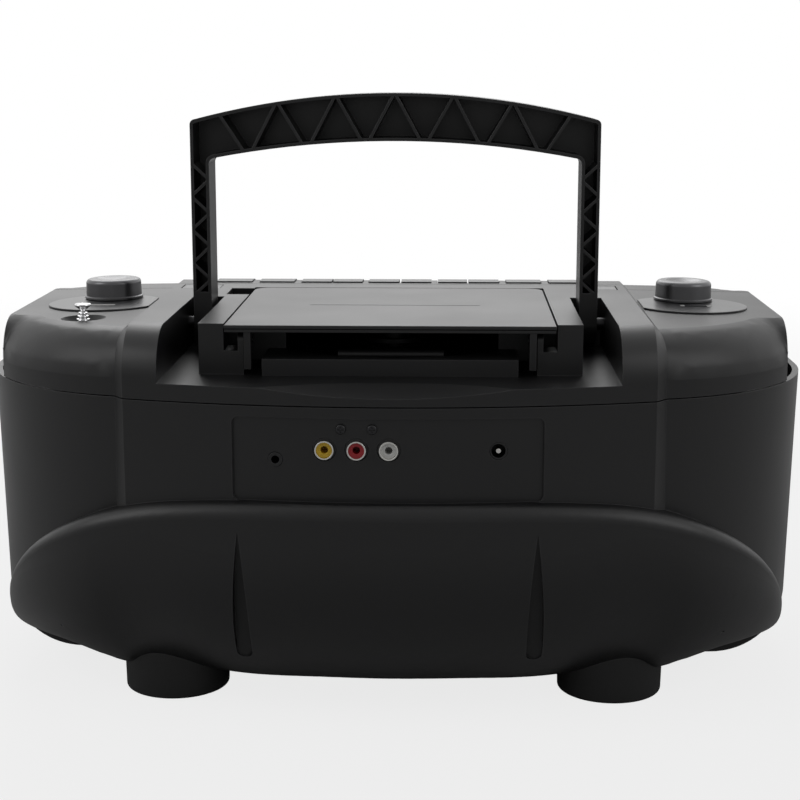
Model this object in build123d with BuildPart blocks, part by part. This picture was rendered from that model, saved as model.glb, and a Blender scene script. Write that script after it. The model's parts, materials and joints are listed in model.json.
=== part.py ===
from build123d import *
import os
from math import cos, exp, pi, radians, sin, sqrt, tan

os.makedirs("parts", exist_ok=True)

# A portable disc player with two speakers, in millimetres. The front faces -Y, the jacks face +Y,
# and Z = 0 is the surface it stands on.

# Driving sizes of the case
HALF_WIDTH = 197.5
BACK_Y = 91.4
FRONT_Y = -106.0
BACK_CORNER = 100.0
FRONT_CORNER = 50.0
BOTTOM_Z = 8.0
SEAM_Z = 149.2
SEAM_GAP = 0.5
FRONT_SEAM_Y = -67.0
SIDE_TOP = 177.9
TOP_FLAT_HALF = 100.0
TOP_BEND_RADIUS = 240.0
TOP_SLOPE = 1.0
TOP_ROUND = 20.0
BOTTOM_ROUND = 33.0
SIDE_DRAFT = 1.3
WALL = 3.0

# Raised centre section, whose back wall is a shallow arc
PLATEAU_Z = 180.1
CENTRE_HALF = 123.5
CENTRE_BEVEL = 6.0
CENTRE_BACK_RADIUS = 411.0
CENTRE_AXIS_Y = -299.5
CENTRE_BACK_ROUND = 22.0
CENTRE_FRONT_Y = -107.0
CENTRE_FRONT_ROUND = 25.0

# Belly: the lower rear bulge
BELLY_BACK_RADIUS = 418.5
BELLY_CORNER_RADIUS = 88.0
BELLY_TURN = 18.0
BELLY_REACH = 84.0
BELLY_LIP_Z = 107.3
BELLY_LIP_ROUND = 7.0
BELLY_LOW = 5.0
BELLY_RISE = 16.0
BELLY_UNDER_RADIUS = 80.0
BELLY_WALL = 7.0
GROOVE_X = 65.5
SLIT_ANGLE = 41.0

# Disc bay and lid
DISC_Y = 13.0
WELL_RADIUS = 61.5
WELL_FLOOR = 162.0
DISC_Z = 165.5
LID_HALF = 74.2
LID_FRONT = -51.0
LID_BACK = 80.4
LID_GAP = 0.7
LID_TOP_THICK = 1.5
LID_UNDER = 176.9
LID_AXIS_Y = 71.5
LID_AXIS_Z = 172.4
RECESS_Z = 157.0
RECESS_HALF = 101.8
HINGE_BLOCK_Y = 75.4

# Carrying handle
HANDLE_HALF = 97.7
HANDLE_INNER = 88.9
HANDLE_BACK = 11.8
HANDLE_FRONT = -11.0
HANDLE_TOP = 280.9
HANDLE_SHOULDER = 268.0
HANDLE_UNDER = 258.4
HANDLE_AXIS_Y = 0.4
HANDLE_AXIS_Z = 169.5
HANDLE_PIN = 3.0
SLOT_INNER = 86.3
SLOT_FRONT = -15.7

# Speakers, in pods that stand out of the front
SPEAKER_X = 136.0
SPEAKER_Z = 92.0
POD_RADIUS = 54.0
POD_FRONT = -115.0

# Sockets on the back
SOCKET_Z = 130.3
VIDEO_X, RIGHT_X, LEFT_X = 27.4, 13.4, -0.6
AUX_X, AUX_Z = 49.0, 125.3
POWER_X, POWER_Z = -48.1, 129.6
PANEL_HALF = 68.0
PANEL_LOW, PANEL_HIGH = 106.6, 144.0
PANEL_RADIUS = 409.7

# Keys along the front of the top
KEY_CENTRES = (8.6, 27.9, 44.5, 65.7, 88.5)
KEY_WIDTHS = (16.0, 15.6, 16.0, 18.4, 18.8)
KEY_BACK = -72.4
KEY_FRONT = -98.0
KEY_UNDER = 170.0
KEY_PLAY = 0.35

# Knobs and antenna
KNOB_X = 143.5
KNOB_Y = -24.5
PLATE_X = 144.5
PLATE_Y = -8.0
PLATE_RADIUS = 28.0
PLATE_INNER = 120.6
ANTENNA_X = 145.7
ANTENNA_Y = 40.0
DISH_RADIUS = 12.8
DISH_RISE = 7.2

# Feet and battery bay
FOOT_X = 104.1
FOOT_RADIUS = 24.7
FOOT_YS = (46.1, -50.0)
BAY_HALF = 78.0
BAY_FRONT, BAY_BACK = -58.0, -2.0
BAY_TOP = 37.5

# Screw posts that join the top and bottom halves
POSTS = ((170.0, -20.0), (135.0, 60.0), (-170.0, -20.0), (-135.0, 60.0))


def keep(builder, name):
    """Label a finished piece and write it."""
    builder.part.label = name
    export_step(builder.part, f"parts/{name}.step")


def block(x, y, z, mode=Mode.ADD):
    """A block between two values on each axis, in the part being built."""
    with Locations((sum(x) / 2, sum(y) / 2, sum(z) / 2)):
        Box(x[1] - x[0], y[1] - y[0], z[1] - z[0], mode=mode)


def rod(start, axis, radius, length, mode=Mode.ADD):
    """A round bar from a start point along an axis, in the part being built."""
    with Locations(Plane(origin=start, z_dir=axis)):
        Cylinder(radius, length, align=(Align.CENTER, Align.CENTER, Align.MIN), mode=mode)


def top_height(x):
    """Height of the side tops at a distance from the middle."""
    bend_end = TOP_FLAT_HALF + TOP_BEND_RADIUS * sin(radians(TOP_SLOPE))
    drop = TOP_BEND_RADIUS * (1 - cos(radians(TOP_SLOPE)))
    return SIDE_TOP - drop - (abs(x) - bend_end) * tan(radians(TOP_SLOPE))


def back_wall(x, radius=CENTRE_BACK_RADIUS):
    """Y of an arc concentric with the centre section's back wall."""
    return CENTRE_AXIS_Y + sqrt(radius ** 2 - x ** 2)


def key_slots():
    """Spans of the key openings along X; neighbours with almost no gap share one."""
    spans = []
    for place in sorted([-centre for centre in KEY_CENTRES] + list(KEY_CENTRES)):
        half = KEY_WIDTHS[KEY_CENTRES.index(abs(place))] / 2 + KEY_PLAY
        if spans and place - half - spans[-1][1] < 1.5:
            spans[-1] = (spans[-1][0], place + half)
        else:
            spans.append((place - half, place + half))
    return spans


def case_plan(height, inset):
    """Outline of the case seen from above, drawn in by an inset."""
    with BuildSketch(Plane.XY.offset(height)) as plan:
        with Locations((0, (BACK_Y + FRONT_Y) / 2)):
            Rectangle(2 * (HALF_WIDTH - inset), BACK_Y - FRONT_Y - 2 * inset)
        fillet(plan.vertices().group_by(Axis.Y)[-1], BACK_CORNER - inset)
        fillet(plan.vertices().group_by(Axis.Y)[0], FRONT_CORNER - inset)
    return plan.sketch


def upper_body(inset):
    """The rounded top of the case, which slopes down towards both ends."""
    top = SIDE_TOP - inset
    with BuildSketch(Plane.XZ) as elevation:
        with BuildLine():
            flat = Line((0, top), (TOP_FLAT_HALF, top))
            bend = JernArc(flat @ 1, (1, 0), TOP_BEND_RADIUS, -TOP_SLOPE)
            slope = Line(bend @ 1, bend @ 1 + (bend % 1) * 80)
            Polyline(slope @ 1, ((slope @ 1).X, 120), (0, 120), (0, top))
        make_face()
        mirror(about=Plane.YZ)
    with BuildPart() as body:
        extrude(case_plan(SEAM_Z, inset), amount=50)
        extrude(elevation.sketch, amount=200, both=True, mode=Mode.INTERSECT)
        high = body.edges().filter_by(lambda edge: edge.center().Z > SEAM_Z + 15)
        rim = high.filter_by(lambda edge: abs(edge.center().X) > 190 or abs((edge % 0.5).Y) < 0.99)
        fillet(rim, TOP_ROUND - inset)
    return body.part


def lower_body(inset):
    """The lower case, which narrows downwards; its back edge is left to the belly."""
    with BuildPart() as body:
        extrude(case_plan(SEAM_Z, inset), amount=BOTTOM_Z + inset - SEAM_Z, taper=SIDE_DRAFT)
        fillet(body.faces().sort_by(Axis.Z)[0].edges(), BOTTOM_ROUND - inset)
        block((-200, 200), (50 - inset, 130), (0, 60 + inset), mode=Mode.SUBTRACT)
        block((-125, 125), (38, 130), (0, 60 + inset), mode=Mode.SUBTRACT)
        for side in (-1, 1):
            corner = sorted((side * (125 - inset), side * 200))
            block(corner, (18.5 - inset, 130), (0, 34 + inset), mode=Mode.SUBTRACT)
    return body.part


def belly_section(angle):
    """One upright section of the belly, square to its outline, at an angle round it."""
    side = 1 if angle >= 0 else -1
    turn = radians(abs(angle))
    corner = radians(BELLY_TURN)
    shift = BELLY_BACK_RADIUS - BELLY_CORNER_RADIUS
    if abs(angle) <= BELLY_TURN:
        x = BELLY_BACK_RADIUS * sin(turn)
        y = CENTRE_AXIS_Y + BELLY_BACK_RADIUS * cos(turn)
    else:
        x = shift * sin(corner) + BELLY_CORNER_RADIUS * sin(turn)
        y = CENTRE_AXIS_Y + shift * cos(corner) + BELLY_CORNER_RADIUS * cos(turn)
    inward = Vector(-side * sin(turn), -cos(turn), 0)
    plane = Plane(origin=(side * x, y, 0), x_dir=inward, z_dir=inward.cross(Vector(0, 0, 1)))
    past = max(0, abs(angle) - BELLY_TURN)
    lip = 26 + (BELLY_LIP_Z - 26) * sqrt(1 - (x / 191) ** 3.9)
    under = BELLY_UNDER_RADIUS - 1.06 * past
    low = BELLY_LOW + BELLY_RISE * (1 - exp(-(past / 28) ** 2))
    edge = BELLY_LIP_ROUND
    slant = 1 - sqrt(0.5)
    with BuildSketch(plane) as section:
        with BuildLine():
            Line((BELLY_REACH, low), (under, low))
            ThreePointArc((under, low), (under * slant, low + under * slant), (0, low + under))
            Line((0, low + under), (0, lip - edge))
            ThreePointArc((0, lip - edge), (edge * slant, lip - edge * slant), (edge, lip))
            Line((edge, lip), (BELLY_REACH, lip))
            Line((BELLY_REACH, lip), (BELLY_REACH, low))
        make_face()
    return section.sketch.faces()[0]


def belly():
    """The lower rear bulge: deep and round in the middle, fading into both ends."""
    one_side = (6, 12, 18, 22, 26, 30, 36, 44, 54, 66, 78, 88)
    angles = [-angle for angle in reversed(one_side)] + [0] + list(one_side)
    with BuildPart() as body:
        loft([belly_section(angle) for angle in angles])
    return body.part


def centre_block(inset):
    """The raised centre section, over the top and down the back, with bevelled sides."""
    with BuildSketch(Plane.YZ) as profile:
        with Locations(((CENTRE_AXIS_Y + CENTRE_BACK_RADIUS - inset - 90), (PLATEAU_Z - inset + 60) / 2)):
            Rectangle(180, PLATEAU_Z - inset - 60)
        corner = profile.vertices().sort_by(Axis.X).sort_by(Axis.Y)[-2:].sort_by(Axis.X)[-1]
        fillet(corner, CENTRE_BACK_ROUND - inset)
    half = CENTRE_HALF - inset
    with BuildPart() as body:
        revolve(profile.sketch, axis=Axis((0, CENTRE_AXIS_Y, 0), (0, 0, 1)), revolution_arc=360)
        block((-half, half), (-50, 130), (0, 200), mode=Mode.INTERSECT)
        with BuildPart(mode=Mode.PRIVATE) as front:
            block((-half, half), (CENTRE_FRONT_Y + inset, -49), (36 + inset, PLATEAU_Z - inset))
            fillet(front.edges().filter_by(Axis.X).sort_by(lambda edge: edge.center().Z - edge.center().Y)[-1],
                   CENTRE_FRONT_ROUND - inset)
        add(front.part)
        ends = body.edges().filter_by(lambda edge: abs(abs(edge.center().X) - half) < 0.01)
        outer = ends.filter_by(lambda edge: edge.center().Z > 62 and not is_inner_end(edge, inset))
        chamfer(outer, CENTRE_BEVEL)
    return body.part


def is_inner_end(edge, inset):
    """True for an end edge that lies inside the case: along the bottoms or down the step between them."""
    middle = edge.center()
    flat_low = abs((edge % 0.5).Y) > 0.99 and middle.Z < PLATEAU_Z - inset - 1
    step = abs((edge % 0.5).Z) > 0.99 and abs(middle.Y + 50) < 2
    return flat_low or step


# The whole case, outside and inside, before it is cut into its shells
with BuildPart() as case_outer:
    add(upper_body(0))
    add(lower_body(0))
    add(belly())
    add(centre_block(0))

# The space inside the belly: a thick arc in the middle and a drum in each rear corner
CORNER_DRUM_RADIUS = 74.0
CORNER_DRUM_LOW, CORNER_DRUM_HIGH = 25.0, 70.5
with BuildPart() as belly_hollow:
    with BuildSketch(Plane.YZ) as middle_profile:
        with Locations((CENTRE_AXIS_Y + BELLY_BACK_RADIUS - BELLY_WALL - 43, 52)):
            Rectangle(86, 80)
        fillet(middle_profile.vertices().group_by(Axis.Y)[0].sort_by(Axis.X)[-1], BELLY_UNDER_RADIUS - BELLY_WALL)
    revolve(middle_profile.sketch, axis=Axis((0, CENTRE_AXIS_Y, 0), (0, 0, 1)), revolution_arc=360)
    block((-100, 100), (0, 130), (0, 120), mode=Mode.INTERSECT)
    turn_radius = BELLY_BACK_RADIUS - BELLY_CORNER_RADIUS
    turn_x = turn_radius * sin(radians(BELLY_TURN))
    turn_y = CENTRE_AXIS_Y + turn_radius * cos(radians(BELLY_TURN))
    for side in (-1, 1):
        with BuildPart(mode=Mode.PRIVATE) as corner_drum:
            rod((side * turn_x, turn_y, CORNER_DRUM_LOW), (0, 0, 1), CORNER_DRUM_RADIUS,
                CORNER_DRUM_HIGH - CORNER_DRUM_LOW)
            fillet(corner_drum.edges().group_by(Axis.Z)[0], 45)
        add(corner_drum.part)

with BuildPart() as case_inner:
    add(upper_body(WALL))
    add(lower_body(WALL))
    add(belly_hollow.part)
    add(centre_block(WALL))


# Ends of the straight floor of each upright groove in the belly, as Y and Z
GROOVE_TOP = (114.0, 94.0)
GROOVE_FOOT = (91.2, 29.5)
GROOVE_HALF = 3.5


def groove_floor(x):
    """The floor of a groove: origin half way along it, Y down the belly, Z outward."""
    run = Vector(0, GROOVE_FOOT[0] - GROOVE_TOP[0], GROOVE_FOOT[1] - GROOVE_TOP[1])
    middle = ((GROOVE_FOOT[0] + GROOVE_TOP[0]) / 2, (GROOVE_FOOT[1] + GROOVE_TOP[1]) / 2)
    return Plane(origin=(x, *middle), x_dir=(1, 0, 0), z_dir=Vector(1, 0, 0).cross(run)), run.length / 2


def belly_plane(angle):
    """The upright plane of a belly section: X runs inward from the outline, Y up."""
    section = belly_section(angle)
    side = 1 if angle >= 0 else -1
    inward = Vector(-side * sin(radians(abs(angle))), -cos(radians(abs(angle))), 0)
    points = section.vertices()
    outermost = points.sort_by(lambda point: -Vector(point).dot(inward))[-1]
    origin = Vector(outermost.X, outermost.Y, 0)
    return Plane(origin=origin, x_dir=inward, z_dir=inward.cross(Vector(0, 0, 1)))


# Top cabinet
with BuildPart() as top_hollow:
    add(case_inner.part)
    for side in (-1, 1):
        walls = sorted((side * 83.3, side * 104.8))
        block(walls, (SLOT_FRONT - WALL, 73), (154, 185), mode=Mode.SUBTRACT)
        blocks = sorted((side * 65.9, side * 87))
        block(blocks, (60, 76), (154, 185), mode=Mode.SUBTRACT)
        for post_y in (-42.5, -66.2):
            rod((side * 103, post_y, 167.6), (0, 0, 1), 2.5, 15, mode=Mode.SUBTRACT)
    block((-104.8, 104.8), (72.4, 130), (154, 185), mode=Mode.SUBTRACT)
    block((-104.8, 104.8), (92, 130), (140, 185), mode=Mode.SUBTRACT)
    block((-65.9, 65.9), (58, 73), (154, RECESS_Z), mode=Mode.SUBTRACT)
    block((77.2, 89), (-51, -21), (168, 185), mode=Mode.SUBTRACT)
    rod((ANTENNA_X, ANTENNA_Y, 158), (0, 0, 1), 12, 22, mode=Mode.SUBTRACT)
    for post_x, post_y in POSTS:
        rod((post_x, post_y, SEAM_Z), (0, 0, 1), 6.5, 40, mode=Mode.SUBTRACT)

with BuildPart() as top_cabinet:
    add(case_outer.part)
    block((-200, 200), (FRONT_SEAM_Y + SEAM_GAP / 2, 130), (SEAM_Z + SEAM_GAP / 2, 200), mode=Mode.INTERSECT)
    add(top_hollow.part, mode=Mode.SUBTRACT)
    block((-RECESS_HALF, RECESS_HALF), (HINGE_BLOCK_Y, 130), (RECESS_Z, 200), mode=Mode.SUBTRACT)
    for side in (-1, 1):
        slot = sorted((side * SLOT_INNER, side * RECESS_HALF))
        block(slot, (SLOT_FRONT, 80), (RECESS_Z, 200), mode=Mode.SUBTRACT)
        rod((side * 80, HANDLE_AXIS_Y, HANDLE_AXIS_Z), (side, 0, 0), HANDLE_PIN, 24, mode=Mode.SUBTRACT)
        with Locations((side * 103, -54.5, 178)):
            Box(20.7, 14.7, 12, mode=Mode.SUBTRACT)
        surface = Plane(origin=(side * KNOB_X, KNOB_Y, top_height(KNOB_X)), x_dir=(cos(radians(TOP_SLOPE)), 0,
                        -side * sin(radians(TOP_SLOPE))), z_dir=(side * sin(radians(TOP_SLOPE)), 0, cos(radians(TOP_SLOPE))))
        rod(surface.from_local_coords(Vector(0, 0, -8)), surface.z_dir, 4.7, 16, mode=Mode.SUBTRACT)
    opening = LID_HALF + LID_GAP
    block((-opening, opening), (LID_FRONT - LID_GAP, 60), (145, 200), mode=Mode.SUBTRACT)
    block((-65.9, 65.9), (58, 80), (RECESS_Z, 200), mode=Mode.SUBTRACT)
    block((-opening, opening), (59, 80), (167.8, 200), mode=Mode.SUBTRACT)
    block((opening - 1, 86.5), (-48, -24), (172, 200), mode=Mode.SUBTRACT)
    with Locations((ANTENNA_X, ANTENNA_Y, top_height(ANTENNA_X) + DISH_RISE)):
        Sphere(DISH_RADIUS, mode=Mode.SUBTRACT)
    rod((ANTENNA_X, ANTENNA_Y, 150), (0, 0, 1), 3.85, 30, mode=Mode.SUBTRACT)
    for post_x, post_y in POSTS:
        rod((post_x, post_y, 140), (0, 0, 1), 1.6, 22, mode=Mode.SUBTRACT)
    # A shallow scoop in the rear lip, where fingers reach under the folded handle
    scoop_plane = Plane(origin=(0, 94, RECESS_Z), x_dir=(1, 0, 0), z_dir=(0, -cos(radians(13)), sin(radians(13))))
    with BuildSketch(scoop_plane) as scoop:
        with BuildLine():
            ThreePointArc((-66, 4.1), (0, 0), (66, 4.1))
            Line((66, 4.1), (-66, 4.1))
        make_face()
    extrude(scoop.sketch, amount=-40, mode=Mode.SUBTRACT)
    for side in (-1, 1):
        ear = sorted((side * 65.9, side * 68.6))
        block(ear, (LID_AXIS_Y - 3.85, LID_AXIS_Y + 3.85), (167.5, LID_AXIS_Z))
        rod((side * 65.9, LID_AXIS_Y, LID_AXIS_Z), (side, 0, 0), 3.85, 2.7)
        rod((side * 65, LID_AXIS_Y, LID_AXIS_Z), (side, 0, 0), 1.5, 4, mode=Mode.SUBTRACT)
keep(top_cabinet, "top_cabinet")

# Bottom cabinet
with BuildPart() as bottom_hollow:
    add(case_inner.part)
    block((-BAY_HALF - 2.5, BAY_HALF + 2.5), (BAY_FRONT - 2.5, BAY_BACK + 2.5), (0, BAY_TOP + 2.5), mode=Mode.SUBTRACT)
    for x in (-70, 70):
        for y in (-40, 20):
            rod((x, y, 8), (0, 0, 1), 3.5, 50, mode=Mode.SUBTRACT)
    for post_x, post_y in POSTS:
        rod((post_x, post_y, 0), (0, 0, 1), 6.5, SEAM_Z + SEAM_GAP / 2, mode=Mode.SUBTRACT)
    # The case stays thick behind each groove
    for x in (-GROOVE_X, GROOVE_X):
        floor, half = groove_floor(x)
        rod(floor.from_local_coords(Vector(0, -half, 0)), floor.y_dir, GROOVE_HALF + 4, 2 * half, mode=Mode.SUBTRACT)

with BuildPart() as socket_recess:
    with BuildSketch(Plane.XZ.offset(-130)) as panel:
        with Locations((0, (PANEL_LOW + PANEL_HIGH) / 2)):
            RectangleRounded(2 * PANEL_HALF, PANEL_HIGH - PANEL_LOW, 3)
    extrude(panel.sketch, amount=40)
    rod((0, CENTRE_AXIS_Y, 90), (0, 0, 1), PANEL_RADIUS, 70, mode=Mode.SUBTRACT)

with BuildPart() as bottom_cabinet:
    add(case_outer.part)
    block((-200, 200), (FRONT_SEAM_Y + SEAM_GAP / 2, 130), (0, SEAM_Z - SEAM_GAP / 2), mode=Mode.INTERSECT)
    with BuildPart(mode=Mode.PRIVATE) as post_tops:
        for post_x, post_y in POSTS:
            rod((post_x, post_y, SEAM_Z - 3), (0, 0, 1), 6.5, 3 + SEAM_GAP / 2)
    add(bottom_hollow.part, mode=Mode.SUBTRACT)
    add(post_tops.part)
    add(socket_recess.part, mode=Mode.SUBTRACT)
    block((-BAY_HALF, BAY_HALF), (BAY_FRONT, BAY_BACK), (0, BAY_TOP), mode=Mode.SUBTRACT)
    for post_x, post_y in POSTS:
        rod((post_x, post_y, 0), (0, 0, 1), 4, 131, mode=Mode.SUBTRACT)
        rod((post_x, post_y, 120), (0, 0, 1), 1.8, 40, mode=Mode.SUBTRACT)
    for x in (VIDEO_X, RIGHT_X, LEFT_X):
        rod((x, 100, SOCKET_Z), (0, 1, 0), 5.2, 20, mode=Mode.SUBTRACT)
    for x in (RIGHT_X + 6.8, RIGHT_X - 6.8):
        rod((x, 100, 139.4), (0, 1, 0), 1.3, 20, mode=Mode.SUBTRACT)
    rod((AUX_X, 95, AUX_Z), (0, 1, 0), 3.3, 20, mode=Mode.SUBTRACT)
    rod((POWER_X, 95, POWER_Z), (0, 1, 0), 4.0, 20, mode=Mode.SUBTRACT)
    # Two upright grooves in the belly, pointed above and round below, and a short slit near each end
    for x in (-GROOVE_X, GROOVE_X):
        floor, half = groove_floor(x)
        low = half - GROOVE_HALF
        with BuildSketch(floor) as groove:
            with BuildLine():
                ThreePointArc((0, -half), (2.9, -4), (GROOVE_HALF, low))
                ThreePointArc((GROOVE_HALF, low), (0, half), (-GROOVE_HALF, low))
                ThreePointArc((-GROOVE_HALF, low), (-2.9, -4), (0, -half))
            make_face()
        extrude(groove.sketch, amount=15, mode=Mode.SUBTRACT)
    for angle in (-SLIT_ANGLE, SLIT_ANGLE):
        section = belly_plane(angle)
        upper = section.from_local_coords(Vector(10.2, 38.6, 0))
        lower = section.from_local_coords(Vector(24, 24.2, 0))
        rod(upper, lower - upper, 1.4, (lower - upper).length, mode=Mode.SUBTRACT)
keep(bottom_cabinet, "bottom_cabinet")

# Front panel
with BuildPart() as front_panel:
    add(case_outer.part)
    block((-200, 200), (-130, FRONT_SEAM_Y - SEAM_GAP / 2), (0, 200), mode=Mode.INTERSECT)
    with BuildPart(mode=Mode.PRIVATE) as pods:
        for side in (-1, 1):
            rod((side * SPEAKER_X, FRONT_SEAM_Y - SEAM_GAP / 2, SPEAKER_Z), (0, -1, 0), POD_RADIUS,
                FRONT_SEAM_Y - SEAM_GAP / 2 - POD_FRONT)
        fillet(pods.edges().filter_by(lambda edge: edge.center().Y < POD_FRONT + 0.1), 2)
    add(pods.part)
    with BuildPart(mode=Mode.PRIVATE) as front_hollow:
        add(case_inner.part)
        for side in (-1, 1):
            block(sorted((side * 100, side * 104)), (-110, -72), (160, 162), mode=Mode.SUBTRACT)
    add(front_hollow.part, mode=Mode.SUBTRACT)
    for side in (-1, 1):
        rod((side * SPEAKER_X, -60, SPEAKER_Z), (0, -1, 0), 51, 52, mode=Mode.SUBTRACT)
        rod((side * SPEAKER_X, -60, SPEAKER_Z), (0, -1, 0), 44, 60, mode=Mode.SUBTRACT)
    for span in key_slots():
        block(span, (KEY_FRONT - KEY_PLAY, KEY_BACK + KEY_PLAY), (165, 200), mode=Mode.SUBTRACT)
    block((-60, 60), (-110, -105.5), (112, 146), mode=Mode.SUBTRACT)
    block((-45, 45), (-110, -95), (118, 140), mode=Mode.SUBTRACT)
keep(front_panel, "front_panel")

# Speakers: a basket with its magnet, a paper cone, a ring and a slotted grille on each side
with BuildPart() as speaker_drivers:
    for side in (-1, 1):
        with BuildPart(mode=Mode.PRIVATE) as driver:
            with BuildSketch(Plane.XY) as driver_profile:
                with BuildLine():
                    Polyline((40.5, -112), (50, -112), (50, -110), (44.5, -110), (27, -88), (31, -88), (31, -70),
                             (0, -70), (0, -86), (24, -86), (24, -89), (40.5, -109.7), (40.5, -112))
                make_face()
            revolve(driver_profile.sketch, axis=Axis.Y, revolution_arc=360)
        with Locations((side * SPEAKER_X, 0, SPEAKER_Z)):
            add(driver.part)
keep(speaker_drivers, "speaker_drivers")

with BuildPart() as speaker_cones:
    for side in (-1, 1):
        with BuildPart(mode=Mode.PRIVATE) as cone:
            with BuildSketch(Plane.XY) as cone_profile:
                with BuildLine():
                    Polyline((40.2, -112.1), (43.8, -112.1), (43.8, -112.9), (40.4, -112.9))
                    ThreePointArc((40.4, -112.9), (37.7, -114.2), (35, -112.4))
                    Line((35, -112.4), (12, -97.5))
                    TangentArc((0, -101.4), (12, -97.5), tangent=(1, 0))
                    Line((0, -101.4), (0, -100.6))
                    TangentArc((0, -100.6), (12, -96.4), tangent=(1, 0))
                    Line((12, -96.4), (35.4, -111.6))
                    ThreePointArc((35.4, -111.6), (37.8, -113.2), (40.2, -112.1))
                make_face()
            revolve(cone_profile.sketch, axis=Axis.Y, revolution_arc=360)
        with Locations((side * SPEAKER_X, 0, SPEAKER_Z)):
            add(cone.part)
keep(speaker_cones, "speaker_cones")

with BuildPart() as speaker_rings:
    for side in (-1, 1):
        with BuildPart(mode=Mode.PRIVATE) as ring:
            rod((side * SPEAKER_X, POD_FRONT, SPEAKER_Z), (0, -1, 0), 52, 3.5)
            rod((side * SPEAKER_X, POD_FRONT, SPEAKER_Z), (0, -1, 0), 49.6, 3.5, mode=Mode.SUBTRACT)
            fillet(ring.edges().filter_by(lambda edge: edge.center().Y < POD_FRONT - 3), 0.8)
        add(ring.part)
keep(speaker_rings, "speaker_rings")

GRILLE_RADIUS = 49.4
SLOT_PITCH = 3.4
SLOT_WIDTH = 2.0
with BuildPart() as grille:
    with BuildSketch(Plane.XY) as dome_profile:
        with BuildLine():
            Polyline((0, -117.6), (0, -119), (14, -119))
            TangentArc((14, -119), (GRILLE_RADIUS, -116.4), tangent=(1, 0))
            Line((GRILLE_RADIUS, -116.4), (GRILLE_RADIUS, -115))
            TangentArc((14, -117.6), (GRILLE_RADIUS, -115), tangent=(1, 0))
            Line((14, -117.6), (0, -117.6))
        make_face()
    revolve(dome_profile.sketch, axis=Axis.Y, revolution_arc=360)
    with BuildSketch(Plane.XZ.offset(110)) as slots:
        for index in range(12):
            inner = 7 + index * SLOT_PITCH
            Circle(inner + SLOT_WIDTH)
            Circle(inner, mode=Mode.SUBTRACT)
        for turn in range(0, 180, 30):
            Rectangle(120, 2.2, rotation=turn, mode=Mode.SUBTRACT)
    extrude(slots.sketch, amount=15, mode=Mode.SUBTRACT)

with BuildPart() as speaker_grilles:
    for side in (-1, 1):
        with Locations((side * SPEAKER_X, 0, SPEAKER_Z)):
            add(grille.part)
keep(speaker_grilles, "speaker_grilles")

# Display
with BuildPart() as display_window:
    block((-59.6, 59.6), (-106.8, -105.5), (112.4, 145.6))
    fillet(display_window.edges().filter_by(Axis.Y), 3)
keep(display_window, "display_window")

with BuildPart() as display_module:
    block((-44.5, 44.5), (-105.5, -99), (118.5, 139.5))
    block((-40, 40), (-105.5, -104.8), (121, 137), mode=Mode.SUBTRACT)
keep(display_module, "display_module")

# Keys: each follows the rounded front edge of the top and stands a little proud of it
key_skin = centre_block(-0.6)
key_number = 0
for place in sorted([-centre for centre in KEY_CENTRES] + list(KEY_CENTRES)):
    key_number += 1
    half = KEY_WIDTHS[KEY_CENTRES.index(abs(place))] / 2
    with BuildPart() as key:
        block((place - half, place + half), (KEY_FRONT, KEY_BACK), (KEY_UNDER, 190))
        add(key_skin, mode=Mode.INTERSECT)
        block((place - half, place + half), (KEY_FRONT + 1.2, KEY_BACK + 1.2), (KEY_UNDER, KEY_UNDER + 0.8))
        rod((place, (KEY_FRONT + KEY_BACK) / 2, KEY_UNDER - 0.7), (0, 0, 1), 2, 1)
    keep(key, f"key_{key_number}")

with BuildPart() as mode_button:
    block((-10, 10), (-7, 7), (174, PLATEAU_Z))
    fillet(mode_button.edges().filter_by(lambda edge: edge.center().Z > PLATEAU_Z - 0.1), 0.6)
    block((-11.5, 11.5), (-8.5, 8.5), (173.4, 175))
    rod((0, 0, 172.4), (0, 0, 1), 2, 2)

for side, name in ((-1, "mode_button_left"), (1, "mode_button_right")):
    with BuildPart() as placed_button:
        with Locations((side * 103, -54.5, 0)):
            add(mode_button.part)
    keep(placed_button, name)

# Switch boards under the keys and the two side buttons, with a switch for each
with BuildPart() as switch_boards:
    block((-104, 104), (-97, -72), (162, 163.6))
    for centre in KEY_CENTRES:
        for side in (-1, 1):
            block((side * centre - 3, side * centre + 3), (-88.2, -82.2), (163.6, 166.6))
            rod((side * centre, (KEY_FRONT + KEY_BACK) / 2, 166.6), (0, 0, 1), 1.7, 1.4)
    for side in (-1, 1):
        block((side * 103 - 9, side * 103 + 9), (-66.2, -39.5), (166, 167.6))
        block((side * 103 - 3, side * 103 + 3), (-57.5, -51.5), (167.6, 170))
        rod((side * 103, -54.5, 170), (0, 0, 1), 1.7, 1.1)
keep(switch_boards, "switch_boards")


def knob_plane(side):
    """The sloping top surface under a knob, with its origin on the knob's axis."""
    lean = radians(TOP_SLOPE)
    return Plane(origin=(side * KNOB_X, KNOB_Y, top_height(KNOB_X)), x_dir=(cos(lean), 0, -side * sin(lean)),
                 z_dir=(side * sin(lean), 0, cos(lean)))


# Knobs: dished on top, each on a shaft that turns in its control
with BuildPart() as knob:
    with BuildSketch(Plane.XZ) as knob_profile:
        with BuildLine():
            Polyline((3, 1.3), (14.5, 1.3), (14.5, 2.2), (13.9, 2.6), (13.7, 8.8))
            ThreePointArc((13.7, 8.8), (13.1, 10.3), (11.6, 10.9))
            Line((11.6, 10.9), (8.8, 10.9))
            TangentArc((0, 9.7), (8.8, 10.9), tangent=(1, 0))
            Polyline((0, 9.7), (0, 8.5), (3, 8.5), (3, 1.3))
        make_face()
    revolve(knob_profile.sketch, axis=Axis.Z, revolution_arc=360)

with BuildPart() as shaft:
    rod((0, 0, -13), (0, 0, 1), 3, 21.5)

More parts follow.
